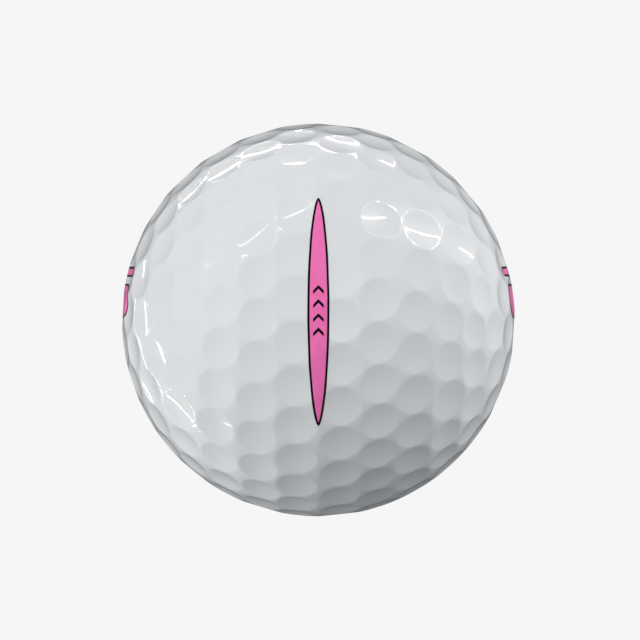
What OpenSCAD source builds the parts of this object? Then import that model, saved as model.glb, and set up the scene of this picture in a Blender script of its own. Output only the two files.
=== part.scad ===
// Golf ball of layered tour construction, with its two cast cover halves and its printed marks.
// Millimetres. The origin is the centre of the ball and +Z is up. The two halves of the cover meet in
// the plane X = 0 and their poles lie on the X axis. The alignment stripe faces -Y.

/* [Ball] */
// Diameter over the lands between the dimples
ball_d = 42.7; // [34:0.1:54]
// Thickness of the cast cover, measured at the lands
cover_t = 0.75; // [0.5:0.05:1.5]
// Thickness of the firm mantle under the cover
mantle_t = 1.1; // [0.6:0.1:2.5]
// Diameter of the soft inner core
inner_core_d = 24; // [12:0.5:28]

/* [Dimples] */
// Depth of each dimple below its own rim
dimple_depth = 0.15; // [0.08:0.01:0.2]
// Narrowest land between two neighbouring dimples
land_w = 0.11; // [0.06:0.01:0.6]
// Width of the land along the seam, which no dimple crosses
seam_land_w = 0.25; // [0.1:0.01:1]

/* [Alignment stripe] */
// Length of the stripe along the surface
stripe_l = 24.2; // [12:0.1:30]
// Width of the stripe at its middle
stripe_w = 2.2; // [1.6:0.1:4]
// Distance that the middle of the stripe lies above the level of the ball's centre
stripe_rise = 1; // [0:0.1:5]
// Width of the dark line round every printed mark
outline_w = 0.22; // [0.1:0.01:0.3]
// Width of the aiming chevrons
chevron_w = 1.05; // [0.6:0.05:1.1]
// Width of a chevron's stroke
chevron_stroke = 0.26; // [0.15:0.01:0.4]
// Distance from one chevron to the next
chevron_pitch = 1.4; // [1:0.1:3]
// Number of chevrons
chevron_count = 4; // [1:1:6]

/* [Pole badges] */
// Length of the badges at the poles
badge_l = 12.5; // [6:0.1:16]
// Height of a badge's lower, wide field
badge_field_h = 3.7; // [2:0.1:6]
// Height of a badge's upper bar
badge_bar_h = 1.1; // [0.8:0.1:3]
// Clear gap between the bar and the field
badge_gap = 0.75; // [0.4:0.05:2]
// Distance that the field's lower edge lies above the level of the ball's centre
badge_rise = 0.2; // [0:0.1:3]

/* [Printing] */
// Thickness of the printed ink
ink_t = 0.04; // [0.03:0.01:0.1]

/* [Hidden] */
$fn = 180;

// Radii of the layers, from the outside in
ball_r = ball_d / 2;
mantle_r = ball_r - cover_t;
outer_core_r = mantle_r - mantle_t;
inner_core_r = inner_core_d / 2;

// The rings of dimples on one half of the ball, from the seam to the pole. Each third of a ring repeats
// the one before it. A ring bulges towards the pole on three sides, and a little on six sides, and its
// dimples are spread or crowded to suit.
// [dimples in a third, turn of the first, latitude, bulge on three sides, on six, spread on three, on six]
RINGS = [
    [10,   0,  6.1, 0.0, 0.0, 0.0, 0.0],
    [10,   6, 16.7, 0.2, 0.4, 0.3, 0.0],
    [ 9, -30, 28.0, 1.1, 0.6, 0.6, 0.3],
    [ 8, -30, 39.7, 1.8, 1.2, 0.6, 0.9],
    [ 7, -30, 51.0, 3.1, 1.8, 0.6, 0.8],
    [ 5,  30, 62.7, 3.7, 2.2, 1.0, 1.2],
    [ 3, -30, 72.8, 3.8, 0.0, 2.3, 0.0],
    [ 1,  30, 82.8, 0.0, 0.0, 0.0, 0.0]
];
// Turn about the polar axis at which the rings bulge most, and at which the left half mirrors the right
bulge_turn = -30;
half_turn_axis = 3;

// A direction from the centre: latitude is measured from the seam, and turn goes from the front down
function direction(latitude, turn) =
    [sin(latitude), -cos(latitude) * cos(turn), -cos(latitude) * sin(turn)];
function swing(turn) = turn - bulge_turn;
function ring_latitude(ring, turn) =
    ring[2] + ring[3] * cos(3 * swing(turn)) + ring[4] * cos(6 * swing(turn));
function ring_turn(ring, turn) =
    turn + ring[5] * sin(3 * swing(turn)) + ring[6] * sin(6 * swing(turn));
function dimple_direction(ring, turn) = direction(ring_latitude(ring, turn), ring_turn(ring, turn));
function ring_directions(ring) =
    [for (i = [0 : 3 * ring[0] - 1]) dimple_direction(ring, ring[1] + i * 120 / ring[0])];

CENTRES = [for (ring = RINGS) each ring_directions(ring)];
LAST = len(CENTRES) - 1;

// Every dimple first takes half the way to its nearest neighbour, and then half of what is left free
function angle_between(a, b) = acos(min(1, a * b));
NEAREST = [for (i = [0 : LAST])
    min([for (j = [0 : LAST]) if (j != i) angle_between(CENTRES[i], CENTRES[j])]) / 2];
ROOM = [for (i = [0 : LAST])
    min([for (j = [0 : LAST]) if (j != i) angle_between(CENTRES[i], CENTRES[j]) - NEAREST[j]])];
function arc_angle(width) = width / ball_r * 180 / PI;
function seam_limit(i) = asin(CENTRES[i][0]) - arc_angle(seam_land_w / 2);
RIMS = [for (i = [0 : LAST])
    min((NEAREST[i] + ROOM[i]) / 2 - arc_angle(land_w / 2), seam_limit(i))];

// How sharply the stripe's ends are drawn out: 1 is a plain ellipse
leaf_point = 1.1;
// Where the stripe faces, and how far each mark spreads over the surface from where it faces
stripe_facing = direction(0, -asin(stripe_rise / ball_r));
stripe_reach = arc_angle(stripe_l / 2);
chevron_reach = arc_angle(chevron_count * chevron_pitch / 2 + chevron_w);
badge_reach = arc_angle(max(badge_l / 2, badge_rise + badge_field_h + badge_gap + badge_bar_h) + outline_w);

// Sizes that only keep the cutting tools clear of the faces that they cut
past = 1;
rim_past = land_w / 4;

// Turns a shape that stands on +Z so that it stands on a direction
module aim(along) {
    rotate([0, acos(along[2]), atan2(along[1], along[0])]) children();
}

// The tool for one dimple: a short plug with a spherical end, whose radius lift takes off, so that the
// dimple comes out shallower all over by that much.
module dimple_plug(rim, lift = 0) {
    rim_r = ball_r * sin(rim);
    rim_z = ball_r * cos(rim);
    bowl_r = (pow(rim_r, 2) + pow(dimple_depth, 2)) / (2 * dimple_depth);
    intersection() {
        translate([0, 0, rim_z - dimple_depth + bowl_r]) sphere(r = bowl_r - lift);
        translate([0, 0, rim_z - past]) cylinder(r = rim_r + rim_past, h = ball_r - rim_z + 2 * past);
    }
}

// The dimples of the right half whose rims come within reach of a direction
module dimple_plugs(around = [1, 0, 0], reach = 180, lift = 0) {
    for (i = [0 : LAST])
        if (angle_between(CENTRES[i], around) < reach + RIMS[i])
            aim(CENTRES[i]) dimple_plug(RIMS[i], lift);
}

// The dimples of both halves within reach of a direction
module dimple_plugs_both(around, reach, lift = 0) {
    dimple_plugs(around, reach, lift);
    other_half() dimple_plugs(other_side(around), reach, lift);
}

// Half a turn about the axis in the seam on which the two halves match each other
half_turn_line = direction(0, half_turn_axis);
module other_half() {
    rotate(a = 180, v = half_turn_line) children();
}
function other_side(along) = 2 * (along * half_turn_line) * half_turn_line - along;

// The right half of a shell between two spheres
module half_shell(outer_r, inner_r) {
    block = outer_r + past;
    difference() {
        sphere(r = outer_r);
        sphere(r = inner_r);
        translate([-block, 0, 0]) cube(2 * block, center = true);
    }
}

module inner_core() {
    color("darkorange") sphere(r = inner_core_r);
}

module outer_core_right() {
    color("orangered") half_shell(outer_core_r, inner_core_r);
}

module outer_core_left() {
    color("tomato") other_half() half_shell(outer_core_r, inner_core_r);
}

module mantle() {
    color("lightsteelblue") difference() {
        sphere(r = mantle_r);
        sphere(r = outer_core_r);
    }
}

module cover_half() {
    difference() {
        half_shell(ball_r, mantle_r);
        dimple_plugs();
    }
}

module cover_right() {
    color("whitesmoke") cover_half();
}

module cover_left() {
    color("white") other_half() cover_half();
}

// A printed mark: what a prism of the mark's outline takes out of a thin skin that lies on the ball and
// follows its dimples. The outline is drawn flat and faces a direction; reach is how far it spreads.
module printed(facing, reach) {
    difference() {
        intersection() {
            face(facing) linear_extrude(height = ball_d) children();
            sphere(r = ball_r + ink_t);
        }
        dimple_plugs_both(facing, reach, ink_t);
        difference() {
            sphere(r = ball_r);
            dimple_plugs_both(facing, reach);
        }
    }
}

// Stands a flat drawing on a direction, with the drawing's Y pointing up the ball
module face(facing) {
    across = cross([0, 0, 1], facing) / norm(cross([0, 0, 1], facing));
    up = cross(facing, across);
    multmatrix([
        [across[0], up[0], facing[0], 0],
        [across[1], up[1], facing[1], 0],
        [across[2], up[2], facing[2], 0]
    ]) children();
}

// The stripe's outline, a slim leaf: an ellipse whose ends are drawn a little to a point
module stripe_leaf() {
    half_l = ball_r * sin(stripe_reach);
    right_side = [for (a = [0 : 6 : 180]) [stripe_w / 2 * pow(sin(a), leaf_point), half_l * cos(a)]];
    left_side = [for (a = [6 : 6 : 174]) [-stripe_w / 2 * pow(sin(a), leaf_point), -half_l * cos(a)]];
    polygon(concat(right_side, left_side));
}

module stripe_field() {
    offset(delta = -outline_w) stripe_leaf();
}

// One chevron, pointing up, with strokes that slope at 45 degrees
module chevron() {
    arm = chevron_w / 2;
    rise = chevron_stroke * sqrt(2);
    polygon([[-arm, -arm], [0, 0], [arm, -arm], [arm, rise - arm], [0, rise], [-arm, rise - arm]]);
}

module chevron_row() {
    for (i = [0 : chevron_count - 1])
        translate([0, (i - (chevron_count - 1) / 2) * chevron_pitch]) chevron();
}

module stripe_band() {
    color("hotpink") printed(stripe_facing, stripe_reach) difference() {
        stripe_field();
        chevron_row();
    }
}

module stripe_outline() {
    color("black") printed(stripe_facing, stripe_reach) difference() {
        stripe_leaf();
        stripe_field();
    }
}

module stripe_chevrons() {
    color("black") printed(stripe_facing, chevron_reach) chevron_row();
}

// A bar with round ends, grown on every side
module round_bar(length, height, grow) {
    straight = length - height;
    square([straight, height + 2 * grow], center = true);
    for (side = [-1, 1])
        translate([side * straight / 2, 0]) circle(d = height + 2 * grow);
}

// A pole badge: a wide field with a narrow bar above it. The sizes include the dark outline.
module badge_shapes(grow = 0) {
    translate([0, badge_rise + badge_field_h / 2]) round_bar(badge_l, badge_field_h, grow);
    translate([0, badge_rise + badge_field_h + badge_gap + badge_bar_h / 2])
        round_bar(badge_l, badge_bar_h, grow);
}

// Prints a drawing on the right pole
module on_right() {
    printed([1, 0, 0], badge_reach) children();
}

// The line between a badge's edge and its coloured field
module badge_line() {
    difference() {
        badge_shapes();
        badge_shapes(-outline_w);
    }
}

// Prints a drawing on the left pole. It is turned first, so that the half turn leaves it upright.
module on_left() {
    other_half() on_right() rotate(180 + 2 * half_turn_axis) children();
}

module right_badge() {
    color("hotpink") on_right() badge_shapes(-outline_w);
}

module right_badge_outline() {
    color("black") on_right() badge_line();
}

module left_badge() {
    color("hotpink") on_left() badge_shapes(-outline_w);
}

module left_badge_outline() {
    color("black") on_left() badge_line();
}

inner_core();
outer_core_right();
outer_core_left();
mantle();
cover_right();
cover_left();
stripe_band();
stripe_outline();
stripe_chevrons();
right_badge();
right_badge_outline();
left_badge();
left_badge_outline();
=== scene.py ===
import math

import bmesh
import bpy
from mathutils import Matrix, Vector
from mathutils.kdtree import KDTree


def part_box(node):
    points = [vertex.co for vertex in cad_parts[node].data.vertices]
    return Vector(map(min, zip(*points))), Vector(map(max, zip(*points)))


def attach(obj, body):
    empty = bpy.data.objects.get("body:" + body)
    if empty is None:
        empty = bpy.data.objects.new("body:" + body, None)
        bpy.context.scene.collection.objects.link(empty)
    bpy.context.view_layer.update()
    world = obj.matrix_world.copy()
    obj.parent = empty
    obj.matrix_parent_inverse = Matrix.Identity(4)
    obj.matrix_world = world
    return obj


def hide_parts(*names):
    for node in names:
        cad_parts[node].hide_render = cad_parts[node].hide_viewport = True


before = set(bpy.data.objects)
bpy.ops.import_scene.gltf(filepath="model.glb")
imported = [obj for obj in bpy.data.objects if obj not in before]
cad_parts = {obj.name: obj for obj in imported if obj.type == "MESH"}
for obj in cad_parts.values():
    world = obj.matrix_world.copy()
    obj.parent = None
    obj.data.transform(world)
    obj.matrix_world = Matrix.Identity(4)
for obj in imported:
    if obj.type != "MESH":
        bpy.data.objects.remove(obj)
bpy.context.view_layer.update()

mm = 0.001

# ---------------------------------------------------------------- sizes, the same as those of the solids
ball_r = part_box("cover_right")[1].z
mantle_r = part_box("mantle")[1].x
dimple_depth = 0.15 * mm
land_w = 0.11 * mm
seam_land_w = 0.25 * mm
stripe_l = 24.2 * mm
stripe_w = 2.2 * mm
stripe_rise = 1 * mm
leaf_point = 1.1
outline_w = 0.22 * mm
chevron_w = 1.05 * mm
chevron_stroke = 0.26 * mm
chevron_pitch = 1.4 * mm
chevron_count = 4
badge_l = 12.5 * mm
badge_field_h = 3.7 * mm
badge_bar_h = 1.1 * mm
badge_gap = 0.75 * mm
badge_rise = 0.2 * mm

# How much the paint rounds the rims, as a depth either side of the rim
paint_rounding = 0.045 * mm
# How far the ink's top stands off the cover, and how far its edges go down into it
field_lift = 0.015 * mm
line_lift = 0.022 * mm
ink_foot = 0.02 * mm

# The rings of dimples on one half, from the seam to the pole, in degrees:
# [dimples in a third, turn of the first, latitude, bulge on three sides, on six, spread on three, on six]
RINGS = [
    [10, 0, 6.1, 0.0, 0.0, 0.0, 0.0],
    [10, 6, 16.7, 0.2, 0.4, 0.3, 0.0],
    [9, -30, 28.0, 1.1, 0.6, 0.6, 0.3],
    [8, -30, 39.7, 1.8, 1.2, 0.6, 0.9],
    [7, -30, 51.0, 3.1, 1.8, 0.6, 0.8],
    [5, 30, 62.7, 3.7, 2.2, 1.0, 1.2],
    [3, -30, 72.8, 3.8, 0.0, 2.3, 0.0],
    [1, 30, 82.8, 0.0, 0.0, 0.0, 0.0],
]
bulge_turn = -30
half_turn_axis = 3


# ---------------------------------------------------------------- the dimple pattern
def direction(latitude, turn):
    """A direction from the centre: latitude from the seam, and turn from the front down, in degrees."""
    up, round_ = math.radians(latitude), math.radians(turn)
    return Vector((
        math.sin(up),
        -math.cos(up) * math.cos(round_),
        -math.cos(up) * math.sin(round_),
    ))


def ring_directions(ring):
    """Where the dimples of one ring lie."""
    count, first, latitude, bulge3, bulge6, spread3, spread6 = ring
    found = []
    for i in range(3 * count):
        turn = first + i * 120 / count
        swing = math.radians(turn - bulge_turn)
        found.append(direction(
            latitude + bulge3 * math.cos(3 * swing) + bulge6 * math.cos(6 * swing),
            turn + spread3 * math.sin(3 * swing) + spread6 * math.sin(6 * swing),
        ))
    return found


def rim_angles(centres):
    """The angle from each dimple's centre to its rim: half the way to its nearest neighbour, and then
    half of what is left free, less the lands."""
    apart = [[a.angle(b) for b in centres] for a in centres]
    count = range(len(centres))
    nearest = [min(apart[i][j] for j in count if j != i) / 2 for i in count]
    room = [min(apart[i][j] - nearest[j] for j in count if j != i) for i in count]
    return [
        min(
            (nearest[i] + room[i]) / 2 - land_w / 2 / ball_r,
            math.asin(centres[i].x) - seam_land_w / 2 / ball_r,
        )
        for i in count
    ]


half_turn = Matrix.Rotation(math.pi, 3, direction(0, half_turn_axis))
RIGHT_CENTRES = [centre for ring in RINGS for centre in ring_directions(ring)]
RIMS = rim_angles(RIGHT_CENTRES)
ALL_CENTRES = RIGHT_CENTRES + [half_turn @ centre for centre in RIGHT_CENTRES]


def bowl(rim):
    """The ball that a dimple is pressed with: how far its centre lies from the middle, and its radius."""
    rim_r = ball_r * math.sin(rim)
    radius = (rim_r**2 + dimple_depth**2) / (2 * dimple_depth)
    return ball_r * math.cos(rim) - dimple_depth + radius, radius


BOWLS = [bowl(rim) for rim in RIMS] * 2
# The angle past a rim in which a dimple still counts
rounding_reach = 0.24 * mm / ball_r
dimple_reach = 2 * math.sin((max(RIMS) + rounding_reach) / 2)
dimple_map = KDTree(len(ALL_CENTRES))
for index, centre in enumerate(ALL_CENTRES):
    dimple_map.insert(centre, index)
dimple_map.balance()


def hollow(along):
    """How far the painted surface lies below the ball's full radius in a direction."""
    depth = 0.0
    for _, index, chord in dimple_map.find_range(along, dimple_reach):
        far, radius = BOWLS[index]
        angle = 2 * math.asin(chord / 2)
        below = ball_r - far * math.cos(angle) + math.sqrt(radius**2 - (far * math.sin(angle)) ** 2)
        if below >= paint_rounding:
            depth += below
        elif below > -paint_rounding:
            depth += (below + paint_rounding) ** 2 / (4 * paint_rounding)
    return depth


def on_cover(along, lift=0.0):
    """The point of the painted surface in a direction, or a point a little above it."""
    along = along.normalized()
    return along * (ball_r - hollow(along) + lift)


# ---------------------------------------------------------------- making pieces
def mark_sharp(bm, degrees=40):
    """Edges that turn by more than this stay crisp."""
    limit = math.radians(degrees)
    for face in bm.faces:
        face.smooth = True
    for edge in bm.edges:
        if len(edge.link_faces) == 2 and edge.calc_face_angle(0) > limit:
            edge.smooth = False


def piece(name, bm, coat, replaced):
    """Makes the object of a finished mesh, which rides on the ball's one body."""
    mesh = bpy.data.meshes.new(name)
    bm.to_mesh(mesh)
    bm.free()
    mesh.materials.append(coat)
    made = bpy.data.objects.new(name, mesh)
    bpy.context.scene.collection.objects.link(made)
    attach(made, "root")
    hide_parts(replaced)
    return made


# ---------------------------------------------------------------- cover halves
dish_steps = 36
seam_steps = 720
wall_steps = 20
# A dimple's rings of vertices: shares of the way to its rim, then angles past the rim
inner_rings = (0.0, 0.34, 0.64)
rim_rings = [step * mm / ball_r for step in (-0.24, -0.18, -0.12, -0.06, 0.0, 0.04)]
# The lands' inner edges are halved where they are longer than this, one pass for each, in radians
land_edge_limits = (0.04, 0.022)
# Points that are closer than this are joined
weld = 1e-3 * mm


def dish_angles(rim):
    """Where a dimple's rings of vertices lie, from its centre out over the rounded rim."""
    return [share * rim for share in inner_rings] + [rim + past for past in rim_rings]


def dish_template():
    """The faces of one dimple as a flat disc, whose rings of vertices are one metre apart."""
    bm = bmesh.new()
    chain = [bm.verts.new((ring, 0, 0)) for ring in range(len(dish_angles(0)))]
    edges = [bm.edges.new(pair) for pair in zip(chain, chain[1:])]
    bmesh.ops.spin(
        bm,
        geom=chain + edges,
        cent=(0, 0, 0),
        axis=(0, 0, 1),
        dvec=(0, 0, 0),
        angle=math.tau,
        steps=dish_steps,
        use_merge=True,
    )
    bmesh.ops.remove_doubles(bm, verts=bm.verts, dist=0.01)
    dish = bpy.data.meshes.new("dish")
    bm.to_mesh(dish)
    bm.free()
    return dish


def add_dish(bm, dish, centre, rim):
    """A copy of the disc, wrapped round a dimple's centre with its rings where this rim needs them."""
    angles = dish_angles(rim)
    side = centre.orthogonal().normalized()
    other = centre.cross(side)
    already = len(bm.verts)
    bm.from_mesh(dish)
    bm.verts.ensure_lookup_table()
    for vert in bm.verts[already:]:
        ring = vert.co.length
        angle = angles[round(ring)]
        outwards = (side * vert.co.x + other * vert.co.y).normalized()
        vert.co = centre * math.cos(angle) + outwards * math.sin(angle)


def flattened(along):
    """The half ball opened out flat round its pole."""
    turn = math.atan2(-along.z, -along.y)
    away = math.acos(max(-1.0, min(1.0, along.x)))
    return Vector((away * math.cos(turn), away * math.sin(turn), 0))


def rolled_up(flat):
    """Back from the flat sheet to a direction."""
    return direction(90 - math.degrees(flat.length), math.degrees(math.atan2(flat.y, flat.x)))


def add_land(bm):
    """Fills the lands between the dimples and out to the seam, on the flat sheet."""
    for vert in bm.verts:
        vert.co = flattened(vert.co)
    bmesh.ops.create_circle(bm, segments=seam_steps, radius=math.pi / 2)
    borders = [edge for edge in bm.edges if len(edge.link_faces) < 2]
    made = bmesh.ops.triangle_fill(bm, use_beauty=True, edges=borders)["geom"]
    land = {item for item in made if isinstance(item, bmesh.types.BMFace)}
    for longest in land_edge_limits:
        edges = {edge for face in land for edge in face.edges}
        inner = [edge for edge in edges if len(edge.link_faces) == 2 and land.issuperset(edge.link_faces)]
        wide = [edge for edge in inner if edge.calc_length() > longest]
        cut = bmesh.ops.subdivide_edges(bm, edges=wide, cuts=1)
        land |= {item for item in cut["geom"] if isinstance(item, bmesh.types.BMFace)}
        land = {face for face in land if face.is_valid}
        split = bmesh.ops.triangulate(bm, faces=[face for face in land if len(face.verts) > 3])
        land |= set(split["faces"])


def add_inner_wall(bm):
    """The seam's flat face, and the inside that the mantle fills."""
    rim = [edge for edge in bm.edges if edge.is_boundary]
    for step in range(wall_steps + 1):
        made = bmesh.ops.extrude_edge_only(bm, edges=rim)["geom"]
        ring = {item for item in made if isinstance(item, bmesh.types.BMVert)}
        for vert in ring:
            turn = math.degrees(math.atan2(-vert.co.z, -vert.co.y))
            vert.co = direction(90 * step / wall_steps, turn) * mantle_r
        rim = [item for item in bm.edges if item.is_boundary and ring.issuperset(item.verts)]
    bmesh.ops.remove_doubles(bm, verts=list(ring), dist=weld)


def cover_half():
    """The mesh of the right cover half."""
    bm = bmesh.new()
    dish = dish_template()
    for centre, rim in zip(RIGHT_CENTRES, RIMS):
        add_dish(bm, dish, centre, rim)
    bpy.data.meshes.remove(dish)
    add_land(bm)
    for vert in bm.verts:
        vert.co = on_cover(rolled_up(vert.co))
    add_inner_wall(bm)
    bmesh.ops.recalc_face_normals(bm, faces=bm.faces)
    mark_sharp(bm)
    return bm


# ---------------------------------------------------------------- printed marks
stripe_facing = direction(0, -math.degrees(math.asin(stripe_rise / ball_r)))
stripe_half_l = ball_r * math.sin(stripe_l / 2 / ball_r)
# A colour field ends this far in from its outline, under the dark line
field_inset = 0.6 * outline_w
right_pole = Vector((1, 0, 0))
left_pole = Vector((-1, 0, 0))


def leaf(u, v, inset):
    """The stripe's outline: an ellipse whose ends are drawn a little to a point."""
    around = math.pi / 2 * (1 - v)
    half_w = max(0.0, stripe_w / 2 * math.sin(around) ** leaf_point - inset)
    return u * half_w, stripe_half_l * math.cos(around)


def round_bar(length, height, middle):
    """A bar with round ends."""

    def shape(u, v, inset):
        radius = height / 2 - inset
        lean = math.pi / 2 * v
        return u * ((length - height) / 2 + radius * math.cos(lean)), middle + radius * math.sin(lean)

    return shape


def chevron(place):
    """One chevron of the row, pointing up."""
    middle = (place - (chevron_count - 1) / 2) * chevron_pitch

    def shape(u, v, inset):
        x = u * chevron_w / 2
        return x, middle - abs(x) + chevron_stroke * math.sqrt(2) * (v + 1) / 2

    return shape


badge_bars = [
    (round_bar(badge_l, badge_field_h, badge_rise + badge_field_h / 2), 120, 40),
    (round_bar(badge_l, badge_bar_h, badge_rise + badge_field_h + badge_gap + badge_bar_h / 2), 120, 14),
]


def draw_field(bm, shape, columns, rows, inset=0.0):
    """A flat sheet of small squares, shaped to an outline."""
    sheet = bmesh.ops.create_grid(bm, x_segments=columns, y_segments=rows, size=1)["verts"]
    for vert in sheet:
        vert.co = Vector((*shape(vert.co.x, vert.co.y, inset), 0))


def draw_line(bm, shape, steps):
    """A flat ribbon round the inside of an outline. Height stands for the way in from the edge."""
    loop = bmesh.ops.create_circle(bm, segments=steps, radius=1)["verts"]
    edges = list({edge for vert in loop for edge in vert.link_edges})
    for vert in loop:
        vert.co /= max(abs(vert.co.x), abs(vert.co.y))
    ribbon = set(loop)
    for way_in in (0.5, 1.0):
        made = bmesh.ops.extrude_edge_only(bm, edges=edges)["geom"]
        ring = {item for item in made if isinstance(item, bmesh.types.BMVert)}
        for vert in ring:
            vert.co.z = way_in
        edges = {edge for vert in ring for edge in vert.link_edges}
        edges = [edge for edge in edges if ring.issuperset(edge.verts)]
        ribbon |= ring
    for vert in ribbon:
        vert.co = Vector((*shape(vert.co.x, vert.co.y, outline_w * vert.co.z), 0))


def lay_on_ball(bm, facing, lift):
    """Lays a flat drawing on the cover, facing a direction, and gives it the thickness of ink."""
    bmesh.ops.remove_doubles(bm, verts=bm.verts, dist=weld)
    bmesh.ops.dissolve_degenerate(bm, edges=bm.edges, dist=weld)
    stray = [vert for vert in bm.verts if not vert.link_faces]
    stray += [edge for edge in bm.edges if not edge.link_faces]
    bmesh.ops.delete(bm, geom=stray, context="EDGES")
    bmesh.ops.delete(bm, geom=[vert for vert in bm.verts if not vert.link_faces], context="VERTS")
    across = Vector((0, 0, 1)).cross(facing).normalized()
    up = facing.cross(across)
    for vert in bm.verts:
        x, y = vert.co.x / ball_r, vert.co.y / ball_r
        along = across * x + up * y + facing * math.sqrt(1 - x * x - y * y)
        vert.co = on_cover(along, -ink_foot)
    made = bmesh.ops.extrude_face_region(bm, geom=bm.faces[:], use_keep_orig=True)["geom"]
    for vert in made:
        if isinstance(vert, bmesh.types.BMVert):
            vert.co = on_cover(vert.co, lift)
    bmesh.ops.recalc_face_normals(bm, faces=bm.faces)
    mark_sharp(bm)
    return bm


def print_stripe_band():
    bm = bmesh.new()
    draw_field(bm, leaf, columns=20, rows=260, inset=field_inset)
    return lay_on_ball(bm, stripe_facing, field_lift)


def print_stripe_outline():
    bm = bmesh.new()
    draw_line(bm, leaf, steps=1200)
    return lay_on_ball(bm, stripe_facing, line_lift)


def print_chevrons():
    bm = bmesh.new()
    for place in range(chevron_count):
        draw_field(bm, chevron(place), columns=12, rows=4)
    return lay_on_ball(bm, stripe_facing, line_lift)


def print_badge(facing):
    bm = bmesh.new()
    for shape, columns, rows in badge_bars:
        draw_field(bm, shape, columns, rows, inset=field_inset)
    return lay_on_ball(bm, facing, field_lift)


def print_badge_outline(facing):
    bm = bmesh.new()
    for shape, _, _ in badge_bars:
        draw_line(bm, shape, steps=480)
    return lay_on_ball(bm, facing, line_lift)


# ---------------------------------------------------------------- finishes
class Level:
    """A value that changes over a surface. Sums written with it become Math nodes."""

    def __init__(self, tree, socket):
        self.tree = tree
        self.socket = socket

    def add(self, kind, settings=None, inputs=None, output=0):
        """Adds a node of any kind: its settings first, then the values or links of its sockets."""
        node = self.tree.nodes.new(kind)
        for name, value in (settings or {}).items():
            setattr(node, name, value)
        for name, value in (inputs or {}).items():
            if isinstance(value, Level):
                self.tree.links.new(value.socket, node.inputs[name])
            else:
                node.inputs[name].default_value = value
        return Level(self.tree, node.outputs[output])

    def maths(self, operation, first, second):
        return self.add("ShaderNodeMath", {"operation": operation}, {0: first, 1: second})

    def __add__(self, other):
        return self.maths("ADD", self, other)

    def __radd__(self, other):
        return self.maths("ADD", other, self)

    def __sub__(self, other):
        return self.maths("SUBTRACT", self, other)

    def __rsub__(self, other):
        return self.maths("SUBTRACT", other, self)

    def __mul__(self, other):
        return self.maths("MULTIPLY", self, other)

    def __rmul__(self, other):
        return self.maths("MULTIPLY", other, self)

    def noise(self, scale, detail=2.0, roughness=0.5):
        """Soft blotches; the scale is in blotches per metre."""
        return self.add(
            "ShaderNodeTexNoise", None,
            {"Vector": self, "Scale": scale, "Detail": detail, "Roughness": roughness},
        )

    def grains(self, scale):
        """Distance to the nearest of many scattered grains; the scale is in grains per metre."""
        return self.add("ShaderNodeTexVoronoi", None, {"Vector": self, "Scale": scale})

    def between(self, low, high):
        """0 below low, 1 above high."""
        return self.add(
            "ShaderNodeMapRange", {"clamp": True}, {"Value": self, "From Min": low, "From Max": high}
        )

    def tint(self, dark, light):
        """A colour from dark at 0 to light at 1."""
        return self.add(
            "ShaderNodeMix", {"data_type": "RGBA"}, {0: self, 6: (*dark, 1), 7: (*light, 1)}, output=2
        )

    def tint_over(self, below, colour):
        """A colour laid over another, as far as this value says."""
        return self.add(
            "ShaderNodeMix", {"data_type": "RGBA"}, {0: self, 6: below, 7: (*colour, 1)}, output=2
        )

    def bumps(self, height):
        """The surface's own direction, tilted by a height of this many metres."""
        return self.add("ShaderNodeBump", None, {"Height": self, "Strength": 1.0, "Distance": height})


def finish(name, recipe, **steady):
    """A material. The recipe gives what changes over the surface; the rest is steady."""
    made = bpy.data.materials.new(name)
    made.use_nodes = True
    tree = made.node_tree
    tree.nodes.clear()
    place = Level(tree, tree.nodes.new("ShaderNodeTexCoord").outputs["Object"])
    inputs = {key.replace("_", " ").title().replace("Ior", "IOR"): value for key, value in steady.items()}
    inputs.update(recipe(place))
    surface = place.add("ShaderNodeBsdfPrincipled", None, inputs)
    output = tree.nodes.new("ShaderNodeOutputMaterial")
    tree.links.new(surface.socket, output.inputs["Surface"])
    return made


def painted_white(place):
    """White paint under a clear coat: even, with the faint waviness of sprayed lacquer."""
    drift = place.noise(90, 3)
    wave = place.noise(1500, 2)
    return {
        "Base Color": drift.between(0.3, 0.7).tint((0.790, 0.805, 0.812), (0.806, 0.820, 0.826)),
        "Roughness": 0.27 + 0.06 * place.noise(400, 2),
        "Normal": wave.bumps(0.0012 * mm),
    }


def pad_ink(dark, light):
    """Pad-printed ink under the clear coat, a little denser in places, with fine pinholes."""
    def recipe(place):
        density = place.noise(700, 4, 0.6)
        pinholes = place.grains(5200).between(0.02, 0.10)
        return {
            "Base Color": (density.between(0.3, 0.7) * pinholes).tint(light, dark),
            "Roughness": 0.24 + 0.1 * density,
        "Specular IOR Level": 0.1,
            "Normal": place.noise(1500, 2).bumps(0.0012 * mm),
        }
    return recipe


def moulded_rubber(dark, light, speck):
    """Filled rubber: mottled, with ground specks and a fine moulded grain."""
    def recipe(place):
        mottle = place.noise(260, 5, 0.6)
        specks = 1 - place.grains(900).between(0.10, 0.22)
        return {
            "Base Color": (0.8 * specks).tint_over(mottle.between(0.3, 0.7).tint(dark, light), speck),
            "Roughness": 0.62 + 0.2 * mottle,
            "Normal": place.noise(4200, 3).bumps(0.02 * mm),
        }
    return recipe


def satin_ionomer(place):
    """Moulded ionomer: milky, with slow flow marks and a fine satin grain."""
    flow = place.add("ShaderNodeTexWave", {"wave_type": "RINGS", "rings_direction": "X"}, {
        "Vector": place, "Scale": 60, "Distortion": 6.0, "Detail": 3.0,
    }, output=1)
    milk = 0.4 * flow + 0.6 * place.noise(220, 4)
    return {
        "Base Color": milk.tint((0.66, 0.70, 0.77), (0.80, 0.83, 0.88)),
        "Roughness": 0.38 + 0.12 * milk,
        "Normal": place.noise(3000, 2).bumps(0.006 * mm),
    }


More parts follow.
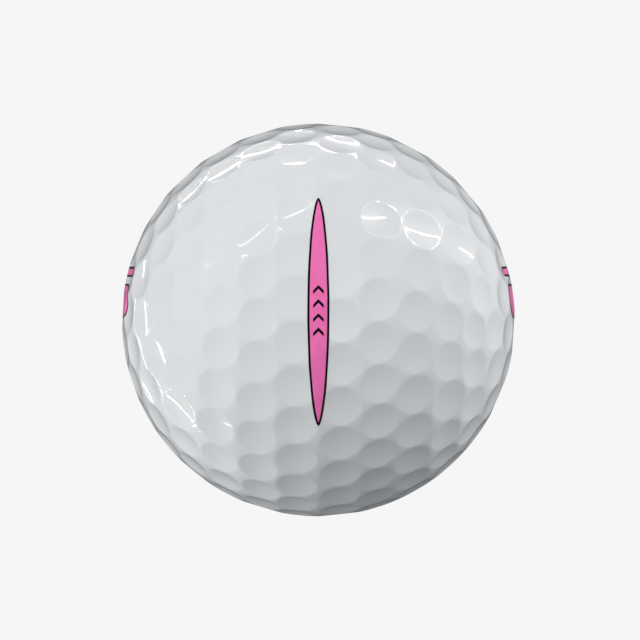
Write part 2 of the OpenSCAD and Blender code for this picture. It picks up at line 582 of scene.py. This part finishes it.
clear_coat = {"coat_weight": 1.0, "coat_roughness": 0.016, "coat_ior": 1.5}
thin_coat = dict(clear_coat, coat_weight=0.3)
white = finish("painted_urethane", painted_white, **clear_coat)
pink = finish("pink_pad_ink", pad_ink((0.915, 0.165, 0.46), (0.95, 0.20, 0.51)), **clear_coat)
black = finish("black_pad_ink", pad_ink((0.004, 0.003, 0.004), (0.008, 0.006, 0.008)), **thin_coat)
orange_rubber = finish(
    "inner_core_rubber", moulded_rubber((0.60, 0.20, 0.03), (0.78, 0.31, 0.06), (0.86, 0.55, 0.30))
)
red_rubber = finish(
    "outer_core_rubber", moulded_rubber((0.36, 0.045, 0.035), (0.50, 0.08, 0.055), (0.66, 0.30, 0.22))
)
milky = finish("mantle_ionomer", satin_ionomer)

# ---------------------------------------------------------------- the ball
right_half = cover_half()
left_half = right_half.copy()
left_half.transform(half_turn.to_4x4())
piece("cover_shell_right", right_half, white, "cover_right")
piece("cover_shell_left", left_half, white, "cover_left")
piece("stripe_print", print_stripe_band(), pink, "stripe_band")
piece("stripe_line_print", print_stripe_outline(), black, "stripe_outline")
piece("chevron_print", print_chevrons(), black, "stripe_chevrons")
piece("right_badge_print", print_badge(right_pole), pink, "right_badge")
piece("right_badge_line_print", print_badge_outline(right_pole), black, "right_badge_outline")
piece("left_badge_print", print_badge(left_pole), pink, "left_badge")
piece("left_badge_line_print", print_badge_outline(left_pole), black, "left_badge_outline")

for node, coat in (
    ("inner_core", orange_rubber),
    ("outer_core_right", red_rubber),
    ("outer_core_left", red_rubber),
    ("mantle", milky),
):
    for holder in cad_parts[node].material_slots:
        holder.material = coat


# ---------------------------------------------------------------- studio
def pale_cove():
    """The studio's pale floor, which sweeps up into a wall and a ceiling all round the ball."""
    bm = bmesh.new()
    floor_z, reach, height, corner = -ball_r, 1.3, 1.3, 0.7
    points = [(0.0, floor_z), (reach - corner, floor_z)]
    points += [
        (reach - corner + corner * math.sin(turn), floor_z + corner - corner * math.cos(turn))
        for turn in (math.radians(10 * step) for step in range(1, 10))
    ]
    points += [
        (reach * math.cos(turn), floor_z + corner + (height - corner) * math.sin(turn))
        for turn in (math.radians(10 * step) for step in range(1, 10))
    ]
    chain = [bm.verts.new((x, 0, z)) for x, z in points]
    edges = [bm.edges.new(pair) for pair in zip(chain, chain[1:])]
    bmesh.ops.spin(
        bm, geom=chain + edges, cent=(0, 0, 0), axis=(0, 0, 1), dvec=(0, 0, 0),
        angle=math.tau, steps=96, use_merge=True,
    )
    bmesh.ops.remove_doubles(bm, verts=bm.verts, dist=mm)
    mesh = bpy.data.meshes.new("pale_cove")
    bm.to_mesh(mesh)
    bm.free()
    made = bpy.data.objects.new("pale_cove", mesh)
    bpy.context.scene.collection.objects.link(made)
    paint = bpy.data.materials.new("cove_paint")
    paint.use_nodes = True
    tree = paint.node_tree
    tree.nodes.clear()
    glow = tree.nodes.new("ShaderNodeEmission")
    glow.inputs["Color"].default_value = (cove_white, cove_white, cove_white, 1)
    out = tree.nodes.new("ShaderNodeOutputMaterial")
    tree.links.new(glow.outputs[0], out.inputs["Surface"])
    mesh.materials.append(paint)
    made.visible_diffuse = False
    made.visible_glossy = False
    made.visible_shadow = False


def light(name, shape, width, height, glow):
    """A flat light whose face has a brightness of glow, where 1 is a white card in full light."""
    lamp = bpy.data.lights.new(name, "AREA")
    lamp.shape = shape
    lamp.size = width
    lamp.size_y = height
    face = width * height * (math.pi / 4 if shape == "DISK" else 1)
    lamp.energy = glow * math.pi * face
    made = bpy.data.objects.new(name, lamp)
    bpy.context.scene.collection.objects.link(made)
    made.rotation_mode = "QUATERNION"
    return made


def towards(turn, height):
    """A direction: the turn to the right from +Y, behind the ball, and the height, in degrees."""
    turn, height = math.radians(turn), math.radians(height)
    level = math.cos(height)
    return Vector((level * math.sin(turn), level * math.cos(turn), math.sin(height)))


def softbox(name, turn, height, glow):
    """A round softbox one metre from the ball, which looks at it."""
    made = light(name, "DISK", softbox_w, softbox_w, glow)
    made.location = towards(turn, height)
    made.rotation_quaternion = made.location.to_track_quat("Z", "Y")
    made.visible_glossy = False


def slim_tube(name, start, end, glow):
    """A slim tube of light from one point to another, seen only as a line in the gloss."""
    start, end = Vector(start), Vector(end)
    middle = (start + end) / 2
    along = (end - start).normalized()
    away = (middle - along * middle.dot(along)).normalized()
    made = light(name, "RECTANGLE", (end - start).length, tube_w, glow)
    made.location = middle
    made.rotation_quaternion = Matrix((along, away.cross(along), away)).transposed().to_quaternion()
    made.visible_diffuse = False


# The softboxes' diameter, the tubes' width and the height of the tubes overhead, in metres
softbox_w = 0.75
tube_w = 0.004
tubes_up = 0.6
# How bright the cove behind the ball is, where 1 is full white
cove_white = 0.921

pale_cove()
softbox("key", 160, 20, 3.5)
softbox("left_fill", -120, 10, 3.0)
softbox("left_low_fill", -100, -20, 3.0)
softbox("right_fill", 120, 25, 2.5)
softbox("overhead", -45, 60, 3.0)
softbox("right_rim", 55, 15, 5.0)
softbox("right_low_rim", 40, -20, 2.5)
softbox("left_low_rim", -50, -35, 4.0)
slim_tube("ceiling_tube_left", (-0.75, 0.75, tubes_up), (0.20, 0.25, tubes_up), 75)
slim_tube("ceiling_tube_right", (0.35, -0.30, tubes_up), (1.05, 0.30, tubes_up), 170)
slim_tube("front_tube", (-0.05, -0.30, tubes_up), (-1.10, -0.75, tubes_up), 30)
slim_tube("side_tube", (-0.70, 0.65, 0.15), (-0.70, 0.20, -0.70), 45)

world = bpy.data.worlds.new("studio")
bpy.context.scene.world = world
world.use_nodes = True
room_glow = world.node_tree.nodes["Background"]
room_glow.inputs["Color"].default_value = (0.90, 0.97, 1.10, 1)
room_glow.inputs["Strength"].default_value = 0.09

# A long lens, level with the ball's centre
camera_distance = 10.5 * ball_r
camera_data = bpy.data.cameras.new("camera")
camera_data.lens = 115.4
camera_data.sensor_width = 36
camera_data.shift_x = 0.0025
camera_data.clip_start = 0.01
camera = bpy.data.objects.new("camera", camera_data)
bpy.context.scene.collection.objects.link(camera)
camera.location = (0, -camera_distance, 0)
camera.rotation_euler = (math.pi / 2, 0, 0)
bpy.context.scene.camera = camera
bpy.context.scene.view_settings.view_transform = "Standard"
